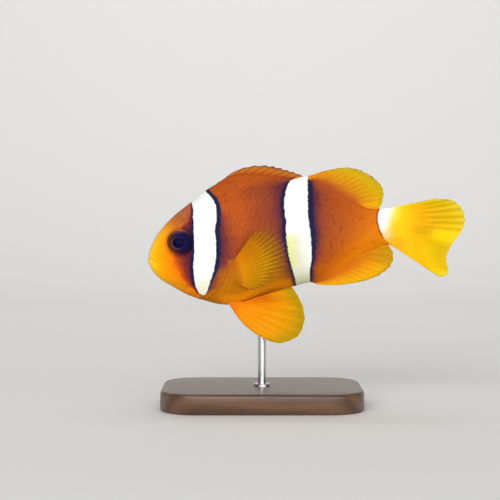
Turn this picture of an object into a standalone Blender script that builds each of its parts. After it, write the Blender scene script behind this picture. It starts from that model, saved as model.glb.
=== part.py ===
"""A clownfish with three white bars, life size, as a still model on a plain display stand.

The fish is laid out in its own frame: "along" runs from the snout towards the tail, "up" from the
body's axis towards the back, and the fish's left side is at -Y. An empty then tips it nose down and
lifts it over the stand. The row's origin is the centre of the stand's underside, +Z up.
"""

import math

import bmesh
import bpy
import numpy as np
from mathutils import Matrix, Vector

MM = 0.001

# ---- the fish as a whole ---------------------------------------------------------------------
BODY_LENGTH = 61.0 * MM  # snout to the root of the tail fin
NOSE_DOWN = 7.5  # degrees
SNOUT_HEIGHT = 37.0 * MM  # over the floor
PARTING = 0.3 * MM  # the thin cut between neighbouring parts
SMOOTH_ANGLE = 40  # degrees: a sharper edge than this stays sharp
BEND_START = 40.0 * MM  # from here back the tail sweeps to the fish's left
TAIL_TIP = 78.8 * MM
TAIL_SWEEP = 6.5 * MM  # how far the tail's tip has swept

# Loft of the body, in millimetres. The rows crowd towards the snout because it is blunt.
# along, back, belly, half width, height of the widest place, crest and keel sharpness
BODY_ROWS = (
    (0.0, 0.2, -1.3, 0.7, -0.5, 1.00, 1.00),
    (0.4, 1.4, -2.9, 1.6, -0.5, 1.00, 1.00),
    (1.2, 3.0, -4.2, 2.3, -0.3, 1.00, 1.00),
    (2.6, 5.1, -5.9, 3.1, 0.0, 1.00, 1.02),
    (5.0, 7.5, -7.8, 4.0, 0.5, 1.00, 1.04),
    (8.5, 10.1, -10.4, 4.8, 0.7, 1.08, 1.05),
    (13.0, 12.8, -12.6, 5.7, 0.0, 1.12, 1.02),
    (18.0, 15.6, -14.2, 6.5, -1.0, 1.16, 0.98),
    (24.0, 17.0, -13.8, 6.9, -2.0, 1.24, 0.95),
    (31.0, 16.2, -12.3, 6.5, -2.0, 1.26, 0.95),
    (38.0, 14.7, -11.4, 5.4, -1.2, 1.24, 1.00),
    (43.0, 13.4, -10.1, 4.4, -0.5, 1.22, 1.05),
    (48.0, 9.9, -7.5, 3.3, 0.0, 1.18, 1.10),
    (53.0, 6.5, -5.2, 2.3, 0.0, 1.12, 1.10),
    (57.0, 4.95, -4.55, 1.7, 0.0, 1.05, 1.05),
    (61.0, 4.65, -4.6, 1.2, 0.0, 1.00, 1.00),
)
RINGS = 32
POINTS_ROUND = 24  # a multiple of 4

# ---- where the body is parted ----------------------------------------------------------------
NECK_ALONG = 20.2 * MM  # the gill opening at its furthest back
NECK_BOW = 3.4 * MM  # how far the gill opening curves forward at the back and the belly
NECK_REACH = 15.5 * MM
STALK_ALONG = 54.5 * MM
GILL_FRONT = 12.6 * MM
GILL_TOP = 7.2 * MM
GILL_BOTTOM = -9.6 * MM
GILL_INSIDE = 3.1 * MM  # from the middle plane to the inner face of a gill cover
JAW_TIP_UP = 0.35 * MM
JAW_JOINT = (4.6 * MM, -2.9 * MM)  # along, up
JAW_HEEL = (6.4 * MM, -12.0 * MM)

# ---- eyes ------------------------------------------------------------------------------------
EYE_ALONG = 8.15 * MM
EYE_UP = 2.8 * MM
EYE_SIDE = 3.2 * MM
EYE_RADIUS = 3.2 * MM
EYE_DEPTH = 2.1 * MM  # its half thickness across the head

# ---- fins ------------------------------------------------------------------------------------
# A fan row: share of the root from its front or top end, ray angle in degrees above the line that
# runs tailward, and ray length in millimetres as seen from the side.
SPINY_ROOT = (21.2, 41.6)  # along, millimetres
SPINY_FAN = (
    (0.0, 30, 1.0),
    (0.15, 31, 3.1),
    (0.3, 31, 4.2),
    (0.5, 28, 4.2),
    (0.75, 22, 3.4),
    (1.0, 15, 1.6),
)
SOFT_ROOT = (42.3, 53.4)
SOFT_FAN = (
    (0.0, 34, 2.4),
    (0.12, 29, 5.2),
    (0.25, 28, 7.6),
    (0.37, 25, 9.0),
    (0.5, 20, 10.0),
    (0.62, 16, 10.1),
    (0.74, 12, 9.8),
    (0.84, 7, 8.8),
    (0.93, -3, 7.0),
    (1.0, -18, 5.0),
)
SOFT_BEND = (-6, 6)  # how many degrees the first and the last ray turn upward on their way out
ANAL_ROOT = (40.0, 53.5)
ANAL_FAN = (
    (0.0, -29, 1.7),
    (0.15, -30, 4.0),
    (0.3, -29, 6.1),
    (0.45, -29, 7.8),
    (0.58, -27, 9.1),
    (0.7, -24, 9.8),
    (0.8, -20, 9.8),
    (0.88, -13, 9.1),
    (0.95, -5, 7.5),
    (1.0, 6, 5.5),
)
ANAL_BEND = (6, 0)
TAIL_ROOT = (4.6, -5.4)  # its top and bottom
TAIL_FAN = (
    (0.0, 4, 11.2),
    (0.08, 4, 14.2),
    (0.16, 2, 15.8),
    (0.26, -4, 17.1),
    (0.36, -10, 16.9),
    (0.46, -16, 15.5),
    (0.56, -22, 14.2),
    (0.7, -29, 13.6),
    (0.86, -34, 14.3),
    (0.94, -36, 14.6),
    (1.0, -41, 12.9),
)
PECTORAL_TOP = (21.2, -3.9)  # along, up
PECTORAL_FOOT = (22.2, -9.5)
PECTORAL_FAN = (
    (0.0, 43, 10.4),
    (0.2, 32, 13.2),
    (0.4, 20, 13.8),
    (0.6, 8, 12.5),
    (0.8, -6, 9.8),
    (1.0, -19, 5.6),
)
PECTORAL_FLARE = 26  # degrees out from the flank
PELVIC_FRONT = (18.6, -14.9)
PELVIC_REAR = (21.9, -14.3)
PELVIC_FAN = (
    (0.0, -44, 14.1),
    (0.1, -40, 15.7),
    (0.25, -34, 16.9),
    (0.4, -29, 17.4),
    (0.55, -23, 17.0),
    (0.7, -15, 16.6),
    (0.82, -8, 15.8),
    (0.93, 2, 14.5),
    (1.0, 13, 12.7),
)
PELVIC_BEND = (28, 2)
PELVIC_FLARE = 15
PELVIC_SIDE = 1.7 * MM
FIN_THICKNESS = 0.6 * MM
WEB_THICKNESS = 0.8  # of the thickness at the rays
FLESHY_SHARE = 0.34  # the share of a fin's length that its fleshy foot takes
FLESHY_ROOT = 1.2 * MM  # the pectoral fin's thickness at its foot

# ---- the stand -------------------------------------------------------------------------------
BASE_SIZE = (50.0 * MM, 34.0 * MM, 5.0 * MM)
BASE_CORNER = 9.0 * MM
BASE_CHAMFER = 0.8 * MM
ROD_RADIUS = 1.0 * MM
ROD_ALONG = 27.0 * MM  # where the rod meets the belly
ROD_IN_BELLY = 4.0 * MM
ROD_IN_BASE = 3.0 * MM

# ---- colours ---------------------------------------------------------------------------------
YELLOW = (0.95, 0.45, 0.03)
ORANGE = (0.80, 0.24, 0.03)
BROWN = (0.50, 0.12, 0.02)
WHITE = (0.85, 0.86, 0.84)
GOLD = (0.93, 0.55, 0.02)
NEARLY_BLACK = (0.012, 0.010, 0.020)
WALNUT = (0.09, 0.045, 0.022)
STEEL = (0.56, 0.56, 0.57)


def spline(xs, ys):
    """The natural cubic spline through the points, as a function."""
    xs, ys = np.array(xs, float), np.array(ys, float)
    gaps, count = np.diff(xs), len(xs)
    system, right = np.eye(count), np.zeros(count)
    for i in range(1, count - 1):
        system[i, i - 1 : i + 2] = gaps[i - 1], 2 * (gaps[i - 1] + gaps[i]), gaps[i]
        right[i] = 6 * ((ys[i + 1] - ys[i]) / gaps[i] - (ys[i] - ys[i - 1]) / gaps[i - 1])
    bends = np.linalg.solve(system, right)

    def at(x):
        i = int(np.clip(np.searchsorted(xs, x) - 1, 0, count - 2))
        gap = gaps[i]
        before, after = (xs[i + 1] - x) / gap, (x - xs[i]) / gap
        curved = (before**3 - before) * bends[i] + (after**3 - after) * bends[i + 1]
        return before * ys[i] + after * ys[i + 1] + curved * gap**2 / 6

    return at


def body_curves():
    """The columns of BODY_ROWS, each as a function of along in metres."""
    stations, *columns = zip(*BODY_ROWS)
    roots = [math.sqrt(station) for station in stations]
    units = (MM, MM, MM, MM, 1, 1)
    curves = [spline(roots, np.array(column) * unit) for column, unit in zip(columns, units)]
    return [lambda along, c=curve: float(c(math.sqrt(max(along, 0) / MM))) for curve in curves]


BACK, BELLY, HALF_WIDTH, WIDEST, CREST, KEEL = body_curves()


def sweep(along):
    """How far the body's middle plane has swept sideways."""
    share = max(0.0, along - BEND_START) / (TAIL_TIP - BEND_START)
    return -TAIL_SWEEP * share**2


def ring_point(along, turn):
    """A point of the body's skin. turn is 0 at the back and pi at the belly."""
    cosine, sine = math.cos(turn), math.sin(turn)
    widest = WIDEST(along)
    edge = BACK(along) if cosine > 0 else BELLY(along)
    sharpness = CREST(along) if cosine > 0 else KEEL(along)
    across = math.copysign(HALF_WIDTH(along) * abs(sine) ** sharpness, sine)
    return Vector((along, sweep(along) + across, widest + abs(cosine) * (edge - widest)))


def flank(along, up):
    """Half the body's width at a height."""
    widest = WIDEST(along)
    edge, sharpness = (BACK(along), CREST(along)) if up > widest else (BELLY(along), KEEL(along))
    cosine = min(1.0, (up - widest) / (edge - widest))
    return HALF_WIDTH(along) * math.sqrt(1 - cosine**2) ** sharpness


# ---- scene helpers ---------------------------------------------------------------------------
def clear_scene():
    for obj in list(bpy.data.objects):
        bpy.data.objects.remove(obj)


def new_collection(name, hidden=False):
    collection = bpy.data.collections.new(name)
    collection.hide_render = hidden
    bpy.context.scene.collection.children.link(collection)
    return collection


def material(name, colour, roughness, metallic=0.0):
    made = bpy.data.materials.new(name)
    made.use_nodes = True
    shader = made.node_tree.nodes["Principled BSDF"]
    shader.inputs["Base Color"].default_value = (*colour, 1.0)
    shader.inputs["Roughness"].default_value = roughness
    shader.inputs["Metallic"].default_value = metallic
    return made


def add_object(name, mesh, collection, finish=None, parent=None):
    obj = bpy.data.objects.new(name, mesh)
    collection.objects.link(obj)
    obj.parent = parent
    if finish:
        mesh.materials.append(finish)
    return obj


def as_cutter(obj):
    obj.hide_render = True
    obj.display_type = "WIRE"
    return obj


def mesh_from(name, build):
    """A mesh that build(bm) fills, with its faces pointing out."""
    bm = bmesh.new()
    build(bm)
    bmesh.ops.recalc_face_normals(bm, faces=bm.faces)
    mesh = bpy.data.meshes.new(name)
    bm.to_mesh(mesh)
    bm.free()
    return mesh


def boolean(obj, other, operation):
    modifier = obj.modifiers.new(f"{operation.lower()} {other.name}", "BOOLEAN")
    modifier.operation = operation
    modifier.object = other
    modifier.solver = "EXACT"


def smooth(obj, angle):
    obj.data.shade_smooth()
    obj.data.set_sharp_from_angle(angle=math.radians(angle))


# ---- the body --------------------------------------------------------------------------------
def loft(bm, start, end):
    """The body between two stations, closed by a flat face at each."""
    stations = [BODY_LENGTH * (i / RINGS) ** 1.6 for i in range(RINGS + 1)]
    inner = [along for along in stations if start + 0.4 * MM < along < end - 0.4 * MM]
    turns = [2 * math.pi * i / POINTS_ROUND for i in range(POINTS_ROUND)]
    rings = [
        [bm.verts.new(ring_point(along, turn)) for turn in turns] for along in (start, *inner, end)
    ]
    for near, far in zip(rings, rings[1:]):
        for i in range(POINTS_ROUND):
            j = (i + 1) % POINTS_ROUND
            bm.faces.new((near[i], near[j], far[j], far[i]))
    bm.faces.new(rings[0])
    bm.faces.new(rings[-1])


def prism(bm, outline, low, high):
    """A side outline of (along, up) points drawn out from low to high across the fish."""
    near = [bm.verts.new((along, low, up)) for along, up in outline]
    far = [bm.verts.new((along, high, up)) for along, up in outline]
    bm.faces.new(near)
    bm.faces.new(far)
    for i in range(len(outline)):
        j = (i + 1) % len(outline)
        bm.faces.new((near[i], near[j], far[j], far[i]))


def neck_outline(ahead, behind):
    """Side outline between two copies of the gill opening's curve, shifted along the fish."""
    heights = np.linspace(-NECK_REACH - 5 * MM, NECK_REACH + 5 * MM, 17)
    curve = [(NECK_ALONG - NECK_BOW * (up / NECK_REACH) ** 2, up) for up in heights]
    front = [(along + ahead, up) for along, up in curve]
    back = [(along + behind, up) for along, up in reversed(curve)]
    return front + back


def gill_outline(grow):
    """A rounded D: its straight side is hidden behind the gill opening."""
    middle, half = (GILL_TOP + GILL_BOTTOM) / 2, (GILL_TOP - GILL_BOTTOM) / 2 + grow
    depth = NECK_ALONG - GILL_FRONT + grow
    rim = [math.pi * (0.5 + i / 14) for i in range(15)]
    curve = [
        (NECK_ALONG - depth * abs(math.cos(turn)) ** 0.7, middle + half * math.sin(turn))
        for turn in rim[1:-1]
    ]
    behind = NECK_ALONG + 3 * MM
    return [(behind, middle + half), *curve, (behind, middle - half)]


def jaw_outline(grow):
    """The lower jaw from the side, bounded above by the mouth and behind by the jaw's heel."""
    return [
        (-3 * MM, JAW_TIP_UP + grow),
        (0.8 * MM, JAW_TIP_UP - 0.1 * MM + grow),
        (JAW_JOINT[0] + grow, JAW_JOINT[1] + grow),
        (JAW_HEEL[0] + grow, JAW_HEEL[1]),
        (-3 * MM, JAW_HEEL[1]),
    ]


def cutter(name, cutters, pose, outline, low, high):
    mesh = mesh_from(name, lambda bm: prism(bm, outline, low, high))
    return as_cutter(add_object(name, mesh, cutters, parent=pose))


def eye_mesh(name, grow):
    def build(bm):
        bmesh.ops.create_uvsphere(bm, u_segments=20, v_segments=10, radius=1.0)
        radius = EYE_RADIUS + grow
        bmesh.ops.scale(bm, vec=(radius, radius, EYE_DEPTH + grow), verts=bm.verts)
        bmesh.ops.rotate(bm, matrix=Matrix.Rotation(math.radians(90), 3, "X"), verts=bm.verts)

    return mesh_from(name, build)


def place_eye(obj, side):
    obj.location = (EYE_ALONG, side * EYE_SIDE, EYE_UP)


def make_body(model, cutters, pose, finishes):
    """Head, lower jaw, gill covers, trunk and tail stalk: one lofted form with thin cuts."""
    wide = 15 * MM
    gap = PARTING / 2
    ahead = cutter("front_of_neck", cutters, pose, neck_outline(-40 * MM, -gap), -wide, wide)
    behind = cutter("behind_neck", cutters, pose, neck_outline(gap, 50 * MM), -wide, wide)
    jaw_keep = cutter("jaw_keep", cutters, pose, jaw_outline(-gap), -wide, wide)
    jaw_gap = cutter("jaw_gap", cutters, pose, jaw_outline(gap), -wide, wide)

    front = mesh_from("front", lambda bm: loft(bm, 0.0, STALK_ALONG - gap))
    rear = mesh_from("rear", lambda bm: loft(bm, STALK_ALONG + gap, BODY_LENGTH))

    head = add_object("head", front.copy(), model, finishes["face"], pose)
    boolean(head, ahead, "INTERSECT")
    boolean(head, jaw_gap, "DIFFERENCE")
    jaw = add_object("lower_jaw", front.copy(), model, finishes["face"], pose)
    boolean(jaw, jaw_keep, "INTERSECT")

    for side, word in ((-1, "left"), (1, "right")):
        low, high = sorted((side * (GILL_INSIDE + gap), side * wide))
        keep = cutter(f"gill_keep_{word}", cutters, pose, gill_outline(-gap), low, high)
        low, high = sorted((side * (GILL_INSIDE - gap), side * wide))
        pocket = cutter(f"gill_pocket_{word}", cutters, pose, gill_outline(gap), low, high)
        cover = add_object(f"gill_cover_{word}", front.copy(), model, finishes["white"], pose)
        boolean(cover, ahead, "INTERSECT")
        boolean(cover, keep, "INTERSECT")
        boolean(head, pocket, "DIFFERENCE")
        socket = add_object(f"eye_socket_{word}", eye_mesh("socket", PARTING), cutters, parent=pose)
        place_eye(as_cutter(socket), side)
        boolean(head, socket, "DIFFERENCE")
        smooth(cover, SMOOTH_ANGLE)

    trunk = add_object("trunk", front.copy(), model, finishes["flank"], pose)
    boolean(trunk, behind, "INTERSECT")
    stalk = add_object("tail_stalk", rear, model, finishes["white"], pose)
    for obj in (head, jaw, trunk, stalk):
        smooth(obj, SMOOTH_ANGLE)
    return trunk


def make_eyes(model, pose, finish):
    for side, word in ((-1, "left"), (1, "right")):
        eye = add_object(f"eye_{word}", eye_mesh("eye", 0.0), model, finish, pose)
        place_eye(eye, side)
        smooth(eye, SMOOTH_ANGLE)


# ---- the fins --------------------------------------------------------------------------------
def fin_sheet(name, root, fan, rays, rows, aside, bend=(0, 0), notch=0.04):
    """An open sheet of rays and webs. root(share) gives the ray's foot as (along, up) in metres,
    aside(share, reach, along) its sideways place, bend how many degrees the first and the last ray
    turn upward on their way out, and notch how far the web dips between rays."""
    shares, angles, lengths = zip(*fan)
    angle_at, length_at = spline(shares, angles), spline(shares, lengths)
    columns = 2 * rays - 1
    bm = bmesh.new()
    grid = []
    for column in range(columns):
        share = column / (columns - 1)
        foot = root(share)
        length = length_at(share) * MM * (1 - notch * (column % 2))
        turn = bend[0] + (bend[1] - bend[0]) * share
        line = []
        for row in range(rows + 1):
            reach = row / rows
            angle = math.radians(angle_at(share) + turn * (reach - 1) / 2)
            along = foot[0] + length * reach * math.cos(angle)
            up = foot[1] + length * reach * math.sin(angle)
            line.append(bm.verts.new((along, aside(share, reach, along), up)))
        grid.append(line)
    for near, far in zip(grid, grid[1:]):
        for row in range(rows):
            bm.faces.new((near[row], near[row + 1], far[row + 1], far[row]))
    mesh = bpy.data.meshes.new(name)
    bm.to_mesh(mesh)
    bm.free()
    return mesh


def make_fin(model, pose, finish, name, mesh, rows, at_root=1.0):
    """Thickens a fin's sheet: thinner in the webs than at the rays, and at_root times as thick in
    the flesh at its foot."""
    fin = add_object(name, mesh, model, finish, pose)
    group = fin.vertex_groups.new(name="thickness")
    for vertex in mesh.vertices:
        column, row = divmod(vertex.index, rows + 1)
        flesh = max(0.0, 1 - row / (FLESHY_SHARE * rows))
        rib = 1.0 if column % 2 == 0 else WEB_THICKNESS
        group.add([vertex.index], (rib + (at_root - 1) * flesh) / at_root, "REPLACE")
    solid = fin.modifiers.new("thickness", "SOLIDIFY")
    solid.thickness = FIN_THICKNESS * at_root
    solid.offset = 0.0
    solid.vertex_group = "thickness"
    solid.use_even_offset = True
    smooth(fin, SMOOTH_ANGLE)
    return fin


def make_middle_fins(model, pose, finishes):
    """The fins that stand in the fish's middle plane."""
    clear = PARTING + 0.1 * MM

    def on_back(first, last):
        def root(share):
            along = (first + (last - first) * share) * MM
            return along, BACK(along) + clear

        return root

    def on_belly(share):
        along = (ANAL_ROOT[0] + (ANAL_ROOT[1] - ANAL_ROOT[0]) * share) * MM
        return along, BELLY(along) - clear

    def on_stalk(share):
        bulge = 0.5 * MM * math.sin(math.pi * share)
        return BODY_LENGTH + PARTING + bulge, (TAIL_ROOT[0] + (TAIL_ROOT[1] - TAIL_ROOT[0]) * share) * MM

    def in_plane(share, reach, along):
        return sweep(along)

    def tail_folds(share, reach, along):
        """The upper lobe is pleated, and the lower lobe turns back behind the fold below it."""
        pleat = 0.28 * MM * math.sin(14 * math.pi * share) * max(0.0, 1 - share / 0.6)
        fold = -1.3 * MM * math.exp(-(((share - 0.47) / 0.13) ** 2))
        turn = 1.6 * MM * max(0.0, share - 0.55) / 0.45
        return sweep(along) + reach**2 * (pleat + fold + turn)

    spiny = fin_sheet("spiny", on_back(*SPINY_ROOT), SPINY_FAN, 11, 4, in_plane, notch=0.14)
    make_fin(model, pose, finishes["fin"], "dorsal_fin_spiny", spiny, 4)
    soft = fin_sheet("soft", on_back(*SOFT_ROOT), SOFT_FAN, 14, 6, in_plane, SOFT_BEND)
    make_fin(model, pose, finishes["fin"], "dorsal_fin_soft", soft, 6)
    anal = fin_sheet("anal", on_belly, ANAL_FAN, 13, 6, in_plane, ANAL_BEND)
    make_fin(model, pose, finishes["fin"], "anal_fin", anal, 6)
    tail = fin_sheet("tail", on_stalk, TAIL_FAN, 16, 7, tail_folds, notch=0.03)
    make_fin(model, pose, finishes["gold"], "tail_fin", tail, 7, at_root=2.2)


def make_paired_fins(model, pose, finishes):
    """The pectoral fins, held out from the flanks, and the pelvic fins, spread below the belly."""
    for side, word in ((-1, "left"), (1, "right")):

        def pectoral_root(share):
            bulge = -0.5 * MM * math.sin(math.pi * share)
            return (
                (PECTORAL_TOP[0] + (PECTORAL_FOOT[0] - PECTORAL_TOP[0]) * share) * MM + bulge,
                (PECTORAL_TOP[1] + (PECTORAL_FOOT[1] - PECTORAL_TOP[1]) * share) * MM,
            )

        def pectoral_aside(share, reach, along, side=side):
            foot = pectoral_root(share)
            start = flank(*foot) + PARTING + FLESHY_ROOT / 2 + 0.1 * MM
            out = (along - foot[0]) * math.tan(math.radians(PECTORAL_FLARE))
            return side * (start + out + 0.8 * MM * math.sin(math.pi * reach))

        def pelvic_root(share):
            return (
                (PELVIC_FRONT[0] + (PELVIC_REAR[0] - PELVIC_FRONT[0]) * share) * MM,
                (PELVIC_FRONT[1] + (PELVIC_REAR[1] - PELVIC_FRONT[1]) * share) * MM,
            )

        def pelvic_aside(share, reach, along, side=side):
            length = 16 * MM * reach
            out = length * math.tan(math.radians(PELVIC_FLARE + 5 * share))
            return side * (PELVIC_SIDE + 0.4 * MM * share + out)

        sheet = fin_sheet("pectoral", pectoral_root, PECTORAL_FAN, 13, 5, pectoral_aside)
        make_fin(model, pose, finishes["gold"], f"pectoral_fin_{word}", sheet, 5, at_root=2.0)
        sheet = fin_sheet("pelvic", pelvic_root, PELVIC_FAN, 9, 6, pelvic_aside, PELVIC_BEND)
        make_fin(model, pose, finishes["gold"], f"pelvic_fin_{word}", sheet, 6, at_root=1.4)


# ---- the stand -------------------------------------------------------------------------------
def make_stand(model, cutters, trunk, pose, finishes):
    length, width, height = BASE_SIZE

    def slab(bm):
        bmesh.ops.create_cube(bm, size=1.0)
        bmesh.ops.scale(bm, vec=(length, width, height), verts=bm.verts)
        bmesh.ops.translate(bm, vec=(0, 0, height / 2), verts=bm.verts)
        upright = [edge for edge in bm.edges if edge.verts[0].co.xy == edge.verts[1].co.xy]
        bmesh.ops.bevel(bm, geom=upright, offset=BASE_CORNER, segments=6, profile=0.5, affect="EDGES")

    base = add_object("stand_base", mesh_from("stand_base", slab), model, finishes["wood"])
    chamfer = base.modifiers.new("chamfer", "BEVEL")
    chamfer.width = BASE_CHAMFER
    chamfer.segments = 2
    chamfer.limit_method = "ANGLE"
    chamfer.angle_limit = math.radians(60)

    belly = pose.matrix_world @ Vector((ROD_ALONG, 0, BELLY(ROD_ALONG)))
    rod_foot, rod_top = height - ROD_IN_BASE, belly.z + ROD_IN_BELLY

    def bar(radius, low, high):
        def build(bm):
            bmesh.ops.create_cone(
                bm,
                cap_ends=True,
                segments=24,
                radius1=radius,
                radius2=radius,
                depth=high - low,
                matrix=Matrix.Translation((0, 0, (low + high) / 2)),
            )

        return build

    rod = mesh_from("stand_rod", bar(ROD_RADIUS, rod_foot, rod_top))
    smooth(add_object("stand_rod", rod, model, finishes["steel"]), SMOOTH_ANGLE)
    clear = ROD_RADIUS + PARTING
    hole = mesh_from("rod_hole", bar(clear, rod_foot - PARTING, height + 5 * MM))
    hole = as_cutter(add_object("rod_hole", hole, cutters))
    boolean(base, hole, "DIFFERENCE")
    socket = mesh_from("rod_socket", bar(clear, belly.z - 6 * MM, rod_top + PARTING))
    socket = as_cutter(add_object("rod_socket", socket, cutters))
    boolean(trunk, socket, "DIFFERENCE")


def pose_fish(model):
    """The empty that carries the fish: nose down, with the belly's rod place over the origin."""
    pose = bpy.data.objects.new("fish_pose", None)
    model.objects.link(pose)
    tip = math.radians(NOSE_DOWN)
    belly = Vector((ROD_ALONG, 0, BELLY(ROD_ALONG)))
    pose.rotation_euler = (0, -tip, 0)
    over_origin = belly.x * math.cos(tip) - belly.z * math.sin(tip)
    pose.location = (-over_origin, 0, SNOUT_HEIGHT)
    bpy.context.view_layer.update()
    return pose


def main():
    clear_scene()
    model = new_collection("clownfish")
    cutters = new_collection("cutters", hidden=True)
    finishes = {
        "face": material("yellow_orange_skin", YELLOW, 0.45),
        "flank": material("brown_orange_skin", BROWN, 0.45),
        "white": material("white_skin", WHITE, 0.45),
        "fin": material("orange_fin", ORANGE, 0.5),
        "gold": material("yellow_fin", GOLD, 0.5),
        "eye": material("dark_eye", NEARLY_BLACK, 0.1),
        "wood": material("dark_wood", WALNUT, 0.45),
        "steel": material("steel", STEEL, 0.3, 1.0),
    }
    pose = pose_fish(model)
    trunk = make_body(model, cutters, pose, finishes)
    make_eyes(model, pose, finishes["eye"])
    make_middle_fins(model, pose, finishes)
    make_paired_fins(model, pose, finishes)
    make_stand(model, cutters, trunk, pose, finishes)


main()
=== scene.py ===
"""A young clownfish in life size on a plain display stand: its skin, scales, fins and eyes.

The fish is modelled in its own frame, in millimetres: x runs from the snout to the tail, z up to the
back, and y to the fish's right. FISH carries that frame into the row's frame, nose down.
"""

import math

import bpy
import numpy as np
from mathutils import Matrix, Vector


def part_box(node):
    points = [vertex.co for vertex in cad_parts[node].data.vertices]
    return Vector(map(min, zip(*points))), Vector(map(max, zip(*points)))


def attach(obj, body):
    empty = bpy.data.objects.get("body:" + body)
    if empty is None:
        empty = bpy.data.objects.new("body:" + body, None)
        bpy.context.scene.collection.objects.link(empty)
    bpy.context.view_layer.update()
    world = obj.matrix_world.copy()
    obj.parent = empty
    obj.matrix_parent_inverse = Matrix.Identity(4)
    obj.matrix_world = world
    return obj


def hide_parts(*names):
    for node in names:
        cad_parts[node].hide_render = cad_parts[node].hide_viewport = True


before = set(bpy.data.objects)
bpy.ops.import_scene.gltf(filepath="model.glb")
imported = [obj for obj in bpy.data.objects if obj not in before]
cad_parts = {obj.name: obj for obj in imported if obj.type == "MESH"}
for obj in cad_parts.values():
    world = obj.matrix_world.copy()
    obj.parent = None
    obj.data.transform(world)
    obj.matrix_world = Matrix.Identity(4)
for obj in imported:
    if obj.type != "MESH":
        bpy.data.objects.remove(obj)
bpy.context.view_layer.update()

MM = 0.001

# ---- where the fish is -----------------------------------------------------------------------
NOSE_DOWN = math.radians(7.5)
EYE = (8.15, 3.2, 2.8)  # the right eye's centre
EYE_RADIUS, EYE_DEPTH = 3.2, 2.1

# ---- the body's form -------------------------------------------------------------------------
# x, back, belly, half width, height of the widest place, crest and keel sharpness
BODY_ROWS = (
    (0, 0.2, -1.3, 0.7, -0.5, 1, 1),
    (0.4, 1.4, -2.9, 1.6, -0.5, 1, 1),
    (1.2, 3, -4.2, 2.3, -0.3, 1, 1),
    (2.6, 5.1, -5.9, 3.1, 0, 1, 1.02),
    (5, 7.5, -7.8, 4, 0.5, 1, 1.04),
    (8.5, 10.1, -10.4, 4.8, 0.7, 1.08, 1.05),
    (13, 12.8, -12.6, 5.7, 0, 1.12, 1.02),
    (18, 15.6, -14.2, 6.5, -1, 1.16, 0.98),
    (24, 17, -13.8, 6.9, -2, 1.24, 0.95),
    (31, 16.2, -12.3, 6.5, -2, 1.26, 0.95),
    (38, 14.7, -11.4, 5.4, -1.2, 1.26, 1.06),
    (43, 13.4, -10.1, 4.4, -0.5, 1.34, 1.24),
    (48, 9.9, -7.5, 3.3, 0, 1.36, 1.32),
    (53, 6.5, -5.2, 2.3, 0, 1.28, 1.26),
    (57, 4.95, -4.55, 1.7, 0, 1.1, 1.1),
    (61, 4.65, -4.6, 1.2, 0, 1, 1),
    (64.5, 4.8, -6.4, 0.3, 0, 1, 1),
)
SKIN_END = 64.5
SNOUT_DOME = 0.5  # the snout's tip closes over this length
COAT = 0.08  # how far the skin lies inside the outermost surface, for the scales
RINGS = 320
POINTS_ROUND = 224
BEND_START = 40
TAIL_TIP = 78.8
TAIL_SWEEP = 6.5


def spline(xs, ys):
    """The natural cubic spline through the points, as a function of a number or an array."""
    xs, ys = np.array(xs, float), np.array(ys, float)
    gaps, count = np.diff(xs), len(xs)
    system, right = np.eye(count), np.zeros(count)
    for i in range(1, count - 1):
        system[i, i - 1 : i + 2] = gaps[i - 1], 2 * (gaps[i - 1] + gaps[i]), gaps[i]
        right[i] = 6 * ((ys[i + 1] - ys[i]) / gaps[i] - (ys[i] - ys[i - 1]) / gaps[i - 1])
    bends = np.linalg.solve(system, right)

    def at(x):
        i = np.clip(np.searchsorted(xs, x) - 1, 0, count - 2)
        gap = gaps[i]
        before, after = (xs[i + 1] - x) / gap, (x - xs[i]) / gap
        curved = (before**3 - before) * bends[i] + (after**3 - after) * bends[i + 1]
        return before * ys[i] + after * ys[i + 1] + curved * gap**2 / 6

    return at


def step(value, low, high):
    """A smooth step from 0 at low to 1 at high."""
    share = np.clip((value - low) / (high - low), 0, 1)
    return share * share * (3 - 2 * share)


def bell(value, width):
    return np.exp(-((value / width) ** 2))


def turns(count):
    """Angles evenly round a circle."""
    return 2 * math.pi * np.arange(count) / count


def unit(vectors):
    return vectors / np.maximum(np.linalg.norm(vectors, axis=-1, keepdims=True), 1e-9)


def body_curves():
    """The columns of BODY_ROWS as functions of x. The square root keeps the blunt snout round."""
    stations, *columns = zip(*BODY_ROWS)
    curves = [spline(np.sqrt(stations), column) for column in columns]
    return [lambda x, c=curve: c(np.sqrt(np.maximum(x, 0))) for curve in curves]


BACK, BELLY, HALF_WIDTH, WIDEST, CREST, KEEL = body_curves()


def sweep(x):
    """Sideways place of the fish's middle plane: the tail sweeps to its left."""
    return -TAIL_SWEEP * (np.maximum(0, x - BEND_START) / (TAIL_TIP - BEND_START)) ** 2


def body_point(x, turn):
    """The plain body at turn, which is 0 at the back and pi at the belly."""
    cosine, sine = np.cos(turn), np.sin(turn)
    widest, above = WIDEST(x), cosine > 0
    edge = np.where(above, BACK(x), BELLY(x))
    sharpness = np.where(above, CREST(x), KEEL(x))
    dome = np.sqrt(1 - (1 - np.clip(x / SNOUT_DOME, 0, 1)) ** 2)
    across = np.sign(sine) * (HALF_WIDTH(x) - COAT) * np.abs(sine) ** sharpness
    height = np.abs(cosine) * (edge - widest) * (1 - COAT / 15)
    return np.stack([x, sweep(x) + across * dome, widest + height * dome], axis=-1)


def flank(x, z):
    """How far the plain body's side stands from its middle plane at a height below its widest place."""
    share = np.clip((WIDEST(x) - z) / (WIDEST(x) - BELLY(x)), 0, 1)
    return HALF_WIDTH(x) * (1 - share**2) ** (KEEL(x) / 2)


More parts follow.
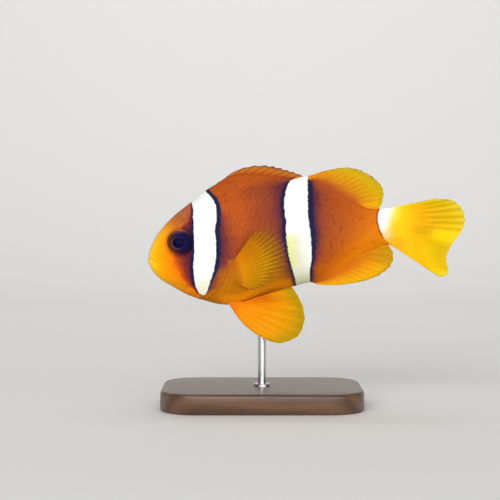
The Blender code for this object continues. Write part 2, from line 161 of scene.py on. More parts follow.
# ---- relief of the skin ----------------------------------------------------------------------
EYEBALL = (8.55, 2.92)  # the visible ball stands a little behind its solid
ORBIT = 3  # half the length of the eye's opening
MOUTH_END = 2.5
NOSTRIL = (4, 3.9)
GILL_EDGE = spline((-14, -10.5, -6, -1, 4, 8, 11), (9, 15.6, 18.9, 20, 19.6, 18, 15.5))
CHEEK_EDGE = spline((-12, -9.5, -7, -2, 3, 7, 10), (6, 10.5, 12.9, 14.1, 14.3, 13.9, 13))
PECTORAL_LOBE = (21.2, -6.3)
LOBE_SIZE = (2.4, 3.9)


def mouth_line(x):
    return 0.6 - 0.88 * x


def orbit_radius(x, z):
    """Distance from the eye's centre: the opening is a little longer than it is tall."""
    return np.hypot(x - EYEBALL[0], (z - EYEBALL[1]) * 1.07)


def relief(points):
    """How far each point of the skin stands out from the plain body, and how deep its crease is, which sets
    the painted shade that darkens it.
    """
    x, y, z = points[..., 0], points[..., 1], points[..., 2]
    off = y - sweep(x)

    near_mouth = 1 - step(x, MOUTH_END - 1.4, MOUTH_END)
    gape = z - mouth_line(x)
    slit = bell(gape, 0.17) * near_mouth
    lips = 0.1 * bell(gape - 0.78, 0.42) + 0.19 * bell(gape + 1.35, 0.85)
    groove = bell(gape - 1.45, 0.25) + bell(gape + 2.7, 0.35)
    out = (lips - 0.04 * groove) * near_mouth - 0.34 * slit
    # crease also carries painted shade: it darkens the mouth's slit and grooves, the nostrils and the gill
    # covers' edges in the colour
    crease = 0.5 * slit + 0.06 * groove * near_mouth

    jaw_crease = bell(gape + 0.15, 0.28) * step(x, 1.9, 2.6) * (1 - step(x, 2.8, 4))
    out -= 0.07 * jaw_crease
    crease += 0.08 * jaw_crease

    nostril = np.hypot(x - NOSTRIL[0], z - NOSTRIL[1])
    out += 0.05 * bell(nostril - 0.3, 0.12) - 0.22 * bell(nostril, 0.16)
    crease += 0.4 * bell(nostril, 0.16)

    on_side = step(np.abs(off), 0.8, 2)
    for edge, low, high, height, width in (
        (GILL_EDGE(z), -13.5, 10, 0.2, 0.3),
        (CHEEK_EDGE(z), -11.5, 8.5, 0.07, 0.35),
    ):
        along = step(z, low, low + 2.5) * (1 - step(z, high - 3, high)) * on_side
        past = x - edge
        out += height * step(past, -3.2, -0.2) * (1 - step(past, -0.12, 0.22)) * along
        out -= 0.4 * height * bell(past - 0.3, width) * along
        crease += 1.2 * height * bell(past - 0.12, 0.22) * along

    lobe = np.hypot((x - PECTORAL_LOBE[0]) / LOBE_SIZE[0], (z - PECTORAL_LOBE[1]) / LOBE_SIZE[1])
    out += 0.5 * (1 - step(lobe, 0.3, 1.1)) * on_side

    fin_foot = step(x, 19, 23) * (1 - step(x, 52, 56)) * (z > 0)
    fin_foot += step(x, 38, 41) * (1 - step(x, 55, 58)) * (z < 0)
    out += 0.45 * bell(off, 0.7) * fin_foot
    return out, np.clip(crease, 0, 1)


def normals_of(grid):
    """Outward unit normals of a grid of points that closes round its second axis."""
    along = np.gradient(grid, axis=0)
    around = np.roll(grid, -1, axis=1) - np.roll(grid, 1, axis=1)
    normal = unit(np.cross(along, around))
    normal[0] = (-1, 0, 0)
    return normal


def eye_face(radius):
    """The eye's outer surface: how far it stands from the middle plane at a radius from its axis."""
    return EYE[1] + EYE_DEPTH * np.sqrt(np.maximum(0, 1 - (radius / EYE_RADIUS) ** 2))


def sink_orbits(grid):
    """Rolls the skin's rim in round each eye and keeps it behind the eyeball. Gives the distance
    from the eye's centre, which the skin's colour uses."""
    x, y, z = grid[..., 0], grid[..., 1], grid[..., 2]
    ball = np.hypot(x - EYEBALL[0], z - EYEBALL[1])
    radius = orbit_radius(x, z)
    rim = 0.035 * bell(radius - ORBIT - 0.42, 0.28)
    side = np.abs(y) + rim
    floor = eye_face(ball) - 0.1 - 0.9 * (1 - step(radius, 2.2, ORBIT - 0.05))
    inward = 1 - step(radius, ORBIT - 0.1, ORBIT + 0.36)
    side = side * (1 - inward) + np.minimum(floor, side) * inward
    near = (radius < ORBIT + 1.6) & (x < 13.5)
    grid[..., 1] = np.where(near, np.sign(y) * side, y)
    return radius


class Skin:
    """The skin as a grid of points, which the scales and the fins' feet lie on."""

    def __init__(self):
        self.x = SKIN_END * (np.arange(RINGS + 1) / RINGS) ** 1.8
        across, down = np.meshgrid(turns(POINTS_ROUND), self.x)
        plain = body_point(down, across)
        out, self.crease = relief(plain)
        self.points = plain + normals_of(plain) * out[..., None]
        self.orbit = sink_orbits(self.points)
        self.normals = normals_of(self.points)

    def at(self, x, turn, height):
        """Points at a height over the skin."""
        row = np.interp(x, self.x, np.arange(RINGS + 1))
        i = np.clip(row.astype(int), 0, RINGS - 1)
        column = (turn / (2 * math.pi) * POINTS_ROUND) % POINTS_ROUND
        j = column.astype(int) % POINTS_ROUND
        down, across = (row - i)[..., None], (column - column.astype(int))[..., None]
        k = (j + 1) % POINTS_ROUND

        def blend(grid):
            upper = grid[i, j] * (1 - across) + grid[i, k] * across
            lower = grid[i + 1, j] * (1 - across) + grid[i + 1, k] * across
            return upper * (1 - down) + lower * down

        return blend(self.points) + blend(self.normals) * height[..., None]


# ---- making pieces ---------------------------------------------------------------------------
def fish_to_row():
    """Where the fish's frame lies in the row's frame, from the places of the two eyes."""
    corners = [corner for side in ("left", "right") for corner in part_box(f"eye_{side}")]
    middle = sum(corners, Vector()) / len(corners)
    tilt = Matrix.Rotation(-NOSE_DOWN, 4, "Y")
    return Matrix.Translation(middle) @ tilt @ Matrix.Translation((-EYE[0] * MM, 0, -EYE[2] * MM))


FISH = fish_to_row()


def add(name, data):
    """A new object of the scene."""
    made = bpy.data.objects.new(name, data)
    bpy.context.scene.collection.objects.link(made)
    return made


def piece(name, points, faces, finish, slot, at=FISH, crisp=None, **marks):
    """A mesh piece from points in millimetres, with crisp edges where it bends by more than so many
    degrees. marks are values at its points for its finish."""
    mesh = bpy.data.meshes.new(name)
    mesh.from_pydata((points * MM).tolist(), [], faces)
    for mark, values in marks.items():
        attribute = mesh.attributes.new(mark, "FLOAT_VECTOR", "POINT")
        attribute.data.foreach_set("vector", np.ascontiguousarray(values, dtype=np.float32).ravel())
    mesh.shade_smooth()
    if crisp:
        mesh.set_sharp_from_angle(angle=math.radians(crisp))
    mesh.materials.append(finish)
    made = add(name, mesh)
    made.matrix_world = at
    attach(made, "root")
    return made


def grid_faces(rows, columns, closed=False, start=0, flip=False):
    """Quads of a grid of rows by columns of points, numbered from start."""
    i, j = np.meshgrid(np.arange(rows - 1), np.arange(columns if closed else columns - 1), indexing="ij")
    near, far, k = i * columns, (i + 1) * columns, (j + 1) % columns
    quads = np.stack([near + j, near + k, far + k, far + j], -1).reshape(-1, 4) + start
    return (quads[:, ::-1] if flip else quads).tolist()


def plate_faces(rows, columns, flip=False):
    """Quads of a closed plate: a grid of points, a second one under it, and the walls between."""
    size = rows * columns
    rim = list(range(columns)) + [columns * i - 1 for i in range(2, rows + 1)]
    rim += list(range(size - 2, size - columns - 1, -1)) + [columns * i for i in range(rows - 2, 0, -1)]
    walls = [(a, b, b + size, a + size) for a, b in zip(rim, rim[1:] + rim[:1])]
    walls = walls if flip else [wall[::-1] for wall in walls]
    return grid_faces(rows, columns, flip=flip) + grid_faces(rows, columns, start=size, flip=not flip) + walls


def make_skin(skin, finish):
    points = skin.points.reshape(-1, 3)
    crease, orbit = skin.crease.reshape(-1), skin.orbit.reshape(-1)
    last = RINGS * POINTS_ROUND
    faces = grid_faces(RINGS + 1, POINTS_ROUND, closed=True)
    faces += [range(last, last + POINTS_ROUND), range(POINTS_ROUND)[::-1]]
    marks = {"place": points, "relief": np.stack([crease, orbit, crease * 0], -1)}
    made = piece("skin", points, faces, finish, "flank_skin", **marks)
    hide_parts("head", "lower_jaw", "gill_cover_left", "gill_cover_right", "trunk", "tail_stalk")


# ---- scales ----------------------------------------------------------------------------------
# from x, to x, spacing along the body, rows round the body
SCALE_ZONES = (
    (8.4, 11.6, 0.53, 60), (11.6, 20.2, 0.64, 56), (20.2, 43.6, 0.8, 58), (43.6, 52.4, 0.7, 44),
    (52.4, 63.6, 0.58, 32),
)
SCALE_ALONG, SCALE_ACROSS = 5, 5  # points of a scale's grid
SCALE_THICKNESS = 0.03
SCALE_TILT = 0.085  # how far its rear edge stands over its root
SCALE_SLANT = 0.3  # how far the columns of scales lean forward for each mm of height
SCALE_JITTER = 0.07
LATERAL_LINE_TURN = 0.62
BAKE_SPOT = 0.003  # a scale's size on its texture map


def scale_roots(side):
    """x, turn, length and half width of each scale on one side of the body."""
    rng = np.random.default_rng(7 if side < 0 else 8)
    found = []
    for start, end, spacing, rows in SCALE_ZONES:
        for ring, x in enumerate(np.arange(start, end, spacing)):
            for row in range(rows // 2 + 1):
                turn = 2 * math.pi * (row + 0.5 * (ring % 2)) / rows
                if turn > math.pi:
                    continue
                height = float(body_point(np.array(x), np.array(turn))[2])
                at = x - SCALE_SLANT * height * step(x, 11.6, 30) * (1 - step(x, 44, 62))
                place = body_point(np.array(at), np.array(turn))
                if orbit_radius(place[0], place[2]) < ORBIT + 1.3:
                    continue
                if at < 13.2 and turn > 2.6:
                    continue
                width = 0.5 * float(np.hypot(BACK(x) - BELLY(x), 2 * HALF_WIDTH(x))) * 2.36 / rows
                jitter = rng.normal(0, SCALE_JITTER, 2)
                found.append((at + jitter[0], side * (turn + jitter[1] * 0.15), spacing, width))
    return np.array(found)


def make_scales(skin, side, finish):
    """One side's scales, each a thin closed plate that follows the skin and tilts out at the rear."""
    word = "left" if side < 0 else "right"
    roots = scale_roots(side)
    x, turn, spacing, width = (roots[:, i, None, None] for i in range(4))
    u, v = np.meshgrid((0, 0.42, 0.66, 0.85, 1), np.linspace(-1, 1, SCALE_ACROSS), indexing="ij")
    length = spacing * 1.62
    down = x - 0.42 * length + length * u * (1 - 0.2 * v**2)
    reach = width * 1.12 * np.sqrt(1 - (np.maximum(0, u - 0.38) / 0.74) ** 2)
    round_body = 1.18 * (BACK(x) - BELLY(x))  # a turn of pi covers about this much skin
    across = turn + v * reach * math.pi / round_body
    fade = step(x, 8.2, 14) * (1 - 0.6 * step(x, 60, 63.4))
    line = np.abs(np.abs(turn) - LATERAL_LINE_TURN) < 0.055
    tube = 0.03 * bell(v, 0.3) * line * step(u, 0.3, 0.5) * (1 - step(u, 0.8, 1))
    top = -0.03 + (SCALE_TILT * u - 0.025 * v**2 + tube) * fade
    upper = skin.at(down, across, top)
    lower = skin.at(down, across, top - SCALE_THICKNESS)
    count, size = len(roots), SCALE_ALONG * SCALE_ACROSS
    points = np.concatenate([upper.reshape(count, size, 3), lower.reshape(count, size, 3)], axis=1)

    one = np.array(plate_faces(SCALE_ALONG, SCALE_ACROSS, flip=side > 0))
    faces = (one[None] + np.arange(count)[:, None, None] * size * 2).reshape(-1, 4).tolist()

    def spread(values):
        return np.broadcast_to(values, (count, size * 2))

    seat_x, seat_turn = roots[:, 0], roots[:, 1]
    place = 0.8 * points + 0.2 * body_point(seat_x, seat_turn)[:, None, :]
    off_back = np.abs(seat_turn)
    by_fin = 1 - step(off_back, 0.15, 0.55) * (1 - step(off_back, 2.55, 3))
    breast = step(off_back, 1.8, 2.3) * (1 - step(seat_x, 30, 37))
    calm = np.maximum(by_fin * step(seat_x, 40, 45), 0.6 * breast)[:, None]
    own = spread(np.random.default_rng(5).random(count)[:, None]) * (1 - calm)
    rear, out = spread(np.tile(u.ravel(), 2)), spread(np.tile(v.ravel(), 2))
    shown = rear + (1 - rear) * calm * 0.8
    marks = {"place": place.reshape(-1, 3), "plate": np.stack([shown, out, own], -1).reshape(-1, 3)}
    made = piece(f"scales_{word}", points.reshape(-1, 3), faces, finish, "flank_skin", **marks)

    seat_u = seat_x[:, None] / 70 + BAKE_SPOT * (rear - 0.5)
    seat_v = 0.5 + seat_turn[:, None] / (2.2 * math.pi) + BAKE_SPOT * out / 2
    spots = np.stack([seat_u, seat_v], -1).reshape(-1, 2)
    layer = made.data.uv_layers.new(name="OFBake")
    corners = np.empty(len(made.data.loops), dtype=np.int32)
    made.data.loops.foreach_get("vertex_index", corners)
    layer.data.foreach_set("uv", spots[corners].astype(np.float32).ravel())


# ---- shader writing --------------------------------------------------------------------------
def sign(operation, swapped=False):
    """A method for one of Python's signs, which adds a Math node."""

    def method(self, other):
        return self.maths(operation, *((other, self) if swapped else (self, other)))

    return method


class Value:
    """A number that changes over a surface. Sums and products with it add Math nodes."""

    def __init__(self, finish, socket):
        self.finish = finish
        self.socket = socket

    def maths(self, operation, *values):
        return self.finish.node("Math", {"operation": operation}, values)

    __add__, __radd__ = sign("ADD"), sign("ADD", True)
    __sub__, __rsub__ = sign("SUBTRACT"), sign("SUBTRACT", True)
    __mul__, __rmul__ = sign("MULTIPLY"), sign("MULTIPLY", True)
    __truediv__, __pow__, most = sign("DIVIDE"), sign("POWER"), sign("MAXIMUM")

    def __neg__(self):
        return self * -1

    def __abs__(self):
        return self.maths("ABSOLUTE", self)

    def rise(self, low, high):
        """A smooth step from 0 at low to 1 at high."""
        ends = {"From Min": low, "From Max": high}
        return self.finish.node("MapRange", {"interpolation_type": "SMOOTHSTEP"}, {"Value": self, **ends})

    def fall(self, low, high):
        """A smooth step from 1 at low to 0 at high."""
        return 1 - self.rise(low, high)

    def within(self, low, high, soft):
        """1 between low and high, fading out over soft."""
        return self.rise(low - soft, low + soft) * self.fall(high - soft, high + soft)


class Finish:
    """A material under construction. Its colours are red, green and blue in thousandths."""

    def __init__(self, name):
        self.material = bpy.data.materials.new(name)
        self.material.use_nodes = True
        self.nodes = self.material.node_tree.nodes
        self.links = self.material.node_tree.links
        self.nodes.clear()

    def node(self, kind, settings=None, inputs=(), output=0):
        """Adds a node, sets it, feeds its sockets and gives one of its outputs."""
        made = self.nodes.new(f"ShaderNode{kind}")
        for key, setting in (settings or {}).items():
            if key == "stops":
                self.set_stops(made.color_ramp, setting)
            elif key == "points":
                self.set_points(made.mapping, setting)
            else:
                setattr(made, key, setting)
        fed = inputs.items() if isinstance(inputs, dict) else enumerate(inputs)
        for key, given in fed:
            socket = made.inputs[key]
            if isinstance(given, Value):
                self.links.new(given.socket, socket)
            else:
                socket.default_value = self.whole(given) if socket.type == "RGBA" else given
        return Value(self, made.outputs[output]) if made.outputs else None

    @staticmethod
    def whole(colour):
        return (*(part / 1000 for part in colour), 1)

    def set_stops(self, ramp, stops):
        for spare in list(ramp.elements)[1:]:
            ramp.elements.remove(spare)
        for i, (place, colour) in enumerate(stops):
            stop = ramp.elements[0] if i == 0 else ramp.elements.new(place)
            stop.position = place
            stop.color = self.whole(colour)

    @staticmethod
    def set_points(mapping, points):
        curve = mapping.curves[0]
        for place, value in points[1:-1]:
            curve.points.new(place, value)
        for point, (place, value) in zip(curve.points, points):
            point.location = (place, value)
        mapping.use_clip = False
        mapping.update()

    def mark(self, name):
        """A vector stored at the piece's points."""
        return self.node("Attribute", {"attribute_name": name}, output="Vector")

    def parts(self, vector):
        """The three numbers of a vector."""
        split = self.node("SeparateXYZ", inputs=(vector,))
        return [Value(self, socket) for socket in split.socket.node.outputs]

    def curve(self, value, points, low, high, most):
        """A smooth curve through (value, result) points. It spans low to high and 0 to most."""
        share = (value - low) / (high - low)
        scaled = [((place - low) / (high - low), result / most) for place, result in sorted(points)]
        return self.node("FloatCurve", {"points": scaled}, {"Value": share}) * most

    def ramp(self, value, stops):
        """The colour at a value on a scale of stops, which are rows of a value and its colour."""
        low, high = stops[0][0], stops[-1][0]
        scaled = [((place - low) / (high - low), colour) for place, *colour in stops]
        return self.node("ValToRGB", {"stops": scaled}, ((value - low) / (high - low),))

    def mix(self, share, first, second, way="MIX"):
        """From the first colour at 0 to the second at 1."""
        settings = {"data_type": "RGBA", "blend_type": way}
        return self.node("Mix", settings, {0: share, 6: first, 7: second}, output=2)

    def paint(self, colour, *layers):
        """Lays layers of (share, colour) or (share, colour, way of blending) over a colour."""
        for share, *layer in layers:
            colour = self.mix(share, colour, *layer)
        return colour

    def noise(self, place, size, detail=2, stretch=None):
        """Smooth noise about 0, with features of about a size in millimetres."""
        if stretch:
            place = self.node("VectorMath", {"operation": "MULTIPLY"}, (place, stretch))
        inputs = {"Vector": place, "Scale": 1 / size, "Detail": detail}
        return self.node("TexNoise", {}, inputs) - 0.5

    def bump(self, height, distance):
        return self.node("Bump", {}, {"Strength": 1, "Distance": distance * MM, "Height": height})

    def surface(self, **sockets):
        """Ends the material with one Principled shader."""
        named = {key.replace("_", " "): given for key, given in sockets.items()}
        shader = self.node("BsdfPrincipled", {}, named)
        self.node("OutputMaterial", {}, {"Surface": shader})
        return self.material

    def flesh(self, weight, depths, **sockets):
        """Ends the material as flesh that lets light in, to a depth in metres for each colour."""
        return self.surface(Specular_IOR_Level=0.05, Subsurface_Weight=weight, Subsurface_Radius=depths,
                            Subsurface_Scale=1, **sockets)


# ---- the fish's colours ----------------------------------------------------------------------
# Rows of a place and its red, green and blue in thousandths. Places are in millimetres, or in
# widths of the shade where its width is given further down.
SNOUT = (
    (0.8, 940, 550, 8), (2, 910, 440, 4), (3, 900, 350, 2), (5, 900, 255, 1), (7.5, 850, 210, 1),
    (11, 680, 205, 2),
)
BROW = (
    (3.5, 880, 430, 20), (5, 800, 320, 22), (6, 720, 250, 22), (7, 660, 205, 20), (8.2, 540, 150, 24),
    (11, 400, 105, 40),
)
EYE_BAND = (
    (0, 16, 11, 55), (0.12, 70, 14, 42), (0.3, 140, 20, 30), (0.45, 240, 35, 24), (0.6, 370, 58, 18),
    (0.78, 620, 96, 10), (0.95, 870, 165, 4),
)
BEHIND_1 = ((0, 70, 19, 50), (1.2, 120, 24, 40), (2.4, 240, 44, 28), (4.4, 410, 75, 15), (7, 500, 93, 12))
BEFORE_2 = (
    (0, 70, 20, 50), (1.2, 130, 28, 45), (2.4, 220, 44, 34), (3.8, 290, 55, 24), (6.5, 350, 66, 18),
    (9.5, 430, 80, 14), (12.5, 500, 96, 12),
)
BREAST = ((0, 80, 32, 30), (1.4, 230, 80, 21), (3, 420, 145, 9), (5, 560, 190, 3), (12.5, 480, 160, 3))
CHEST = ((0, 100, 20, 32), (1.2, 280, 60, 18), (2.6, 430, 115, 7), (4.2, 520, 165, 3))
BEHIND_2 = (
    (0, 45, 16, 45), (1, 60, 18, 44), (2, 170, 34, 34), (3, 310, 58, 22), (5, 400, 78, 14),
    (9, 490, 100, 9), (13, 620, 145, 5), (17, 720, 200, 2),
)
NAVY = (16, 14, 55)
WHITE = (900, 910, 890)
CREAM = (880, 850, 680)
LIME_WHITE = (
    (0.3, 760, 850, 330), (1, 810, 800, 420), (2, 790, 770, 520), (3, 800, 810, 680),
    (4.3, 830, 850, 760), (6, *WHITE),
)
# bar 2's white low on the body, darkened as painted shade and tinted yellow-green
SHADED_WHITE = (660, 680, 470)
PEACH = (880, 560, 250)
LID = ((-3.4, 600, 200, 20), (0, 470, 145, 65), (3.4, 100, 35, 75))
TAIL_ROOT_COLOURS = (
    (58.8, *WHITE), (59.8, 900, 820, 500), (60.9, 900, 660, 70), (62.6, 920, 580, 4), (66, 920, 520, 3),
)

# The bars' edges: x at heights z, from the belly to the back.
LOWEST, HIGHEST, REARMOST = -16, 20, 70
EDGE_BLUR = 0.13  # half the width of a bar's soft edge
BAR_1_FRONT = (
    (-16, 20), (-11.2, 13.2), (-10.8, 12.4), (-10.3, 11.7), (-9.4, 11.3), (-8, 11.05), (-6, 11),
    (-3, 11.3), (0.5, 11.95), (5, 12.45), (8.5, 12.7), (10.5, 12.9), (12.6, 12.5), (20, 10),
)
BAR_1_REAR = (
    (-16, 6), (-11.2, 12.2), (-10.8, 12.9), (-10.3, 13.45), (-9.4, 13.95), (-8, 14.6), (-6, 15.6),
    (-4, 16.4), (1.5, 17.5), (5, 17.7), (8.7, 18.5), (12, 18.2), (14.9, 16.2), (20, 13),
)
BAR_2_FRONT = (
    (-16, 36.6), (-11, 35.8), (-8.5, 35.45), (-6, 35.05), (-1, 34.75), (2, 34.9), (4, 35.2), (9, 35.4),
    (11, 35.85), (13, 36.7), (14.1, 37.4), (14.6, 38), (14.85, 39.4), (15.1, 41.3), (16.2, 46), (20, 52),
)
BAR_2_REAR = (
    (-16, 38.6), (-11, 39.3), (-8, 39.6), (-5.4, 40.3), (0.4, 40.75), (6, 40.9), (9.2, 41.3),
    (11.6, 41.65), (15, 42.2), (20, 42.6),
)
BAR_3_FRONT = (
    (-16, 66), (-5, 61), (-3.4, 59.4), (-1, 58.3), (0.4, 58), (2, 57.95), (3.7, 58.3), (5, 59), (20, 60),
)
# How far the dark of the eye's band reaches ahead of bar 1, and the widths of the other shades.
EYE_BAND_WIDTH = (
    (-16, 0.7), (-10, 0.8), (-8, 2.1), (-6, 3.3), (-4, 4.5), (-1.5, 5.9), (3, 6), (6.5, 5), (8, 2.2),
    (10, 1.1), (20, 0.8),
)
BEHIND_1_WIDTH = (
    (-16, 0.2), (-11, 0.25), (-8, 0.5), (-5, 0.95), (-2, 1.3), (4, 1.05), (7, 0.78), (10, 0.3),
    (13, 0.25), (20, 0.25),
)
BEFORE_2_WIDTH = (
    (-16, 0.4), (-11, 0.4), (-6, 0.55), (-2, 0.85), (4, 1.05), (10, 1), (12.5, 1.3), (15, 1.4), (20, 1.3),
)
BEHIND_2_WIDTH = (
    (-16, 0.35), (-9, 0.4), (-6, 0.55), (-3, 0.75), (0, 0.95), (3, 1.12), (9, 1.25), (12, 0.85),
    (14, 0.5), (20, 0.4),
)
# How deep light goes into flesh and into a fin's web, in metres of red, green and blue.
FLESH_DEPTHS = (0.0006, 0.0003, 0.0002)
WEB_DEPTHS = (0.0007, 0.0004, 0.0002)


def coat_colour(finish, place, own=None):
    """The markings of skin, scales and fins at a place on the fish, with painted light and shade on the
    body's underside, the pectoral lobe and bar 2's lower white, and how white they are. A fin gives its own
    colour, which lies between the bars instead of the flank's."""
    x, _, z = finish.parts(place)

    def edge(points, most=REARMOST):
        return finish.curve(z, points, LOWEST, HIGHEST, most)

    ripple = finish.noise(place, 0.8) * 0.22 + finish.noise(place, 2.6) * 0.3
    cloud = finish.noise(place, 4.5, 3)
    along = x + ripple
    before_1, after_1 = edge(BAR_1_FRONT) - along, along - edge(BAR_1_REAR)
    before_2, after_2 = edge(BAR_2_FRONT) - along, along - edge(BAR_2_REAR)
    before_3 = edge(BAR_3_FRONT) - along
    low = -z - cloud * 2.5

    colour = own
    if not own:
        inward = x - z.most(0) * 0.36 - (-4 - z).most(0) * 0.9
        near = (before_1 + cloud * 1.2) / edge(EYE_BAND_WIDTH, 6)
        head = finish.paint(
            finish.ramp(inward + cloud * 1.5, SNOUT),
            (low.rise(3, 8) * 0.6, (700, 215, 3)),
            ((z + cloud * 2).rise(2.5, 8), finish.ramp(x + cloud * 2, BROW)),
            (z.rise(8, 10.5) * 0.5, (470, 145, 75)),
            ((near + z.rise(2.5, 6.5) * 0.27).fall(0.72, 1.15), finish.ramp(near, EYE_BAND)),
        )
        chest = after_1 + low.rise(9.4, 11) * 2.6
        clear = before_2 + cloud * 2 + z.rise(13.9, 14.8) * 3
        # an ochre patch on the pectoral lobe's top: partly the lobe's own colour, partly a painted highlight
        lobe_tone_and_highlight = x.rise(19.2, 20.6) * x.fall(23, 25) * (cloud - z).rise(2.5, 3.7) * low.fall(5, 8)
        # keel is painted light: the belly's edge, which faces down into shade, is lightened
        keel = (low + x.rise(22, 27) * 2).rise(10.7, 12.8) * x.rise(15, 18) * before_2.rise(0.3, 1.8)
        flank = finish.paint(
            finish.ramp((after_1 + cloud * 1.5) / edge(BEHIND_1_WIDTH, 2), BEHIND_1),
            ((x + cloud * 3).rise(21.5, 27.5), finish.ramp(clear / edge(BEFORE_2_WIDTH, 2), BEFORE_2)),
            (low.rise(2.8, 8.5), finish.ramp(before_2 + cloud, BREAST)),
            (low.rise(3.5, 8) * x.fall(17, 23), finish.ramp(chest, CHEST)),
            (lobe_tone_and_highlight * 0.85, (540, 165, 6)),
            (keel * 0.9, (840, 265, 4)),
        )
        rear = finish.paint(
            finish.ramp((after_2 + cloud * 1.5) / edge(BEHIND_2_WIDTH, 2), BEHIND_2),
            # painted light: the rear underside, which faces down into shade, is lightened
            (low.rise(5.5, 9) * after_2.rise(0.5, 2.5) * 0.55, (660, 160, 4)),
        )
        colour = finish.paint(head, (after_1.rise(-0.6, 0), flank), (after_2.rise(-0.6, 0), rear))

    def border(outside, width, depth):
        """A dark line next to a bar, which melts into the coat."""
        return (outside - width * 0.7).fall(0, width * 0.6) * outside.rise(-0.3, 0) * depth

    beside_eye = z.rise(-11.2, -10.5) * (1 - z.rise(8.5, 10) * 0.6)
    under_fin = z.fall(14.1, 14.7) * (0.8 + 0.2 * z.rise(-1, 3))
    colour = finish.paint(
        colour,
        (border(before_1, 0.3 + 0.5 * z.within(-8.8, 7, 1.7), beside_eye), NAVY),
        (border(after_1, 0.35 + 0.75 * z.rise(-9.5, -4), z.rise(-10.6, -9.6)), NAVY),
        (border(before_2, 0.52 + 0.42 * z.rise(-9, 1), under_fin), NAVY),
        (border(after_2, 0.52 + 0.78 * z.rise(-9, 2), z.fall(12.9, 13.9) * z.rise(-11.5, -9)), NAVY),
        (border(before_3, 0.5, 0.85 * z.rise(-3.5, -1.5)), (320, 70, 30)),
    )

    white = finish.paint(
        WHITE,
        (z.within(-7.5, 1.4, 1.7) * x.rise(30, 32), finish.ramp(-before_2, LIME_WHITE)),
        # painted shade greys bar 2's white towards the belly
        (low.rise(5.5, 10.5) * x.rise(20, 30), SHADED_WHITE),
        (low.rise(5, 8.5) * x.fall(20, 30), CREAM),
    )

    def inside(outside):
        return outside.fall(-EDGE_BLUR, EDGE_BLUR)

    bars = (inside(before_1) * inside(after_1)).most(inside(before_2) * inside(after_2))
    bar_3 = inside(before_3)
    fading = x + cloud * 0.8 - z * 0.45
    root = finish.paint(
        finish.ramp(fading, TAIL_ROOT_COLOURS),
        (z.fall(-1.5, 2.5) * fading.rise(60.6, 62), (930, 510, 3)),
        (z.fall(-2.5, 0.5) * fading.fall(60, 63), PEACH),
        (z.fall(-4.2, -2) * x.fall(62, 66), (900, 400, 6)),
    )
    colour = finish.paint(colour, (bars, white), (bar_3, root))
    return colour, bars.most(bar_3 * fading.fall(60, 61.5))


def skin_finish():
    finish = Finish("clownfish_skin")
    place = finish.mark("place")
    x, y, z = finish.parts(place)
    crease, orbit, _ = finish.parts(finish.mark("relief"))
    colour, white = coat_colour(finish, place)
    coloured = 1 - white
    behind_eye, above_eye = x - EYEBALL[0], z - EYEBALL[1]
    speckle = finish.noise(place, 0.62, 3).rise(-0.02, 0.16) * x.rise(5.5, 9) * x.fall(54, 57)
    pale = abs(y).fall(0, 2.7) * x.fall(2, 6) * z.rise(-3.5, -1)
    upper = (above_eye - behind_eye * 0.6).rise(-1.6, 1.4)
    under = orbit.fall(3.2, 4.8) * above_eye.fall(-2, 0) * x.rise(4.2, 8)
    behind = orbit.fall(3.3, 4.8) * above_eye.rise(0, 2) * x.rise(8.8, 10.8)
    colour = finish.paint(
        colour,
        (speckle * coloured * (0.66 - 0.24 * x.rise(11, 13)), (550, 360, 420), "MULTIPLY"),
        (pale * (0.5 + finish.noise(place, 1.5)), (960, 740, 300)),
        (orbit.fall(3.05, 4.3) * coloured * 0.9, (620, 420, 550), "MULTIPLY"),
        (under * coloured, (550, 480, 750), "MULTIPLY"),
        (behind * coloured, (480, 620, 1000), "MULTIPLY"),
        (orbit.within(3.02, 3.38, 0.13) * upper * 0.6, finish.ramp(behind_eye, LID)),
        (orbit.fall(2.86, 3.08) * 0.75, finish.mix(upper, (90, 30, 30), (170, 60, 35))),
        # painted shade in the creases of the mouth, the nostrils and the gill covers
        (crease * 0.6, (360, 100, 20), "MULTIPLY"),
    )
    pores = finish.noise(place, 0.35, 4) + finish.noise(place, 1.3) * 0.6
    return finish.flesh(
        0.06, FLESH_DEPTHS, Base_Color=colour, Roughness=0.48 + pores * 0.12, Normal=finish.bump(pores, 0.025)
    )


def scale_finish():
    finish = Finish("clownfish_scales")
    place = finish.mark("place")
    x, _, _ = finish.parts(place)
    rear, out, own = finish.parts(finish.mark("plate"))
    colour, white = coat_colour(finish, place)
    base = (rear + out * out * 0.2).fall(0.45, 0.85)
    patch = finish.noise(place, 2.5, 2).rise(-0.12, 0.2) * x.fall(56, 58)
    shade = (base * 0.36 + own.rise(0.55, 1) * patch * 0.45) * (1 - white * 0.8) * x.fall(58.2, 59.4)
    ridges = finish.noise(place, 0.16, 2)
    return finish.flesh(
        0.05,
        FLESH_DEPTHS,
        Base_Color=finish.mix(shade, colour, (420, 300, 320), "MULTIPLY"),
        Roughness=0.46 + own * 0.1 + ridges * 0.1,
        Normal=finish.bump(ridges, 0.01),
    )


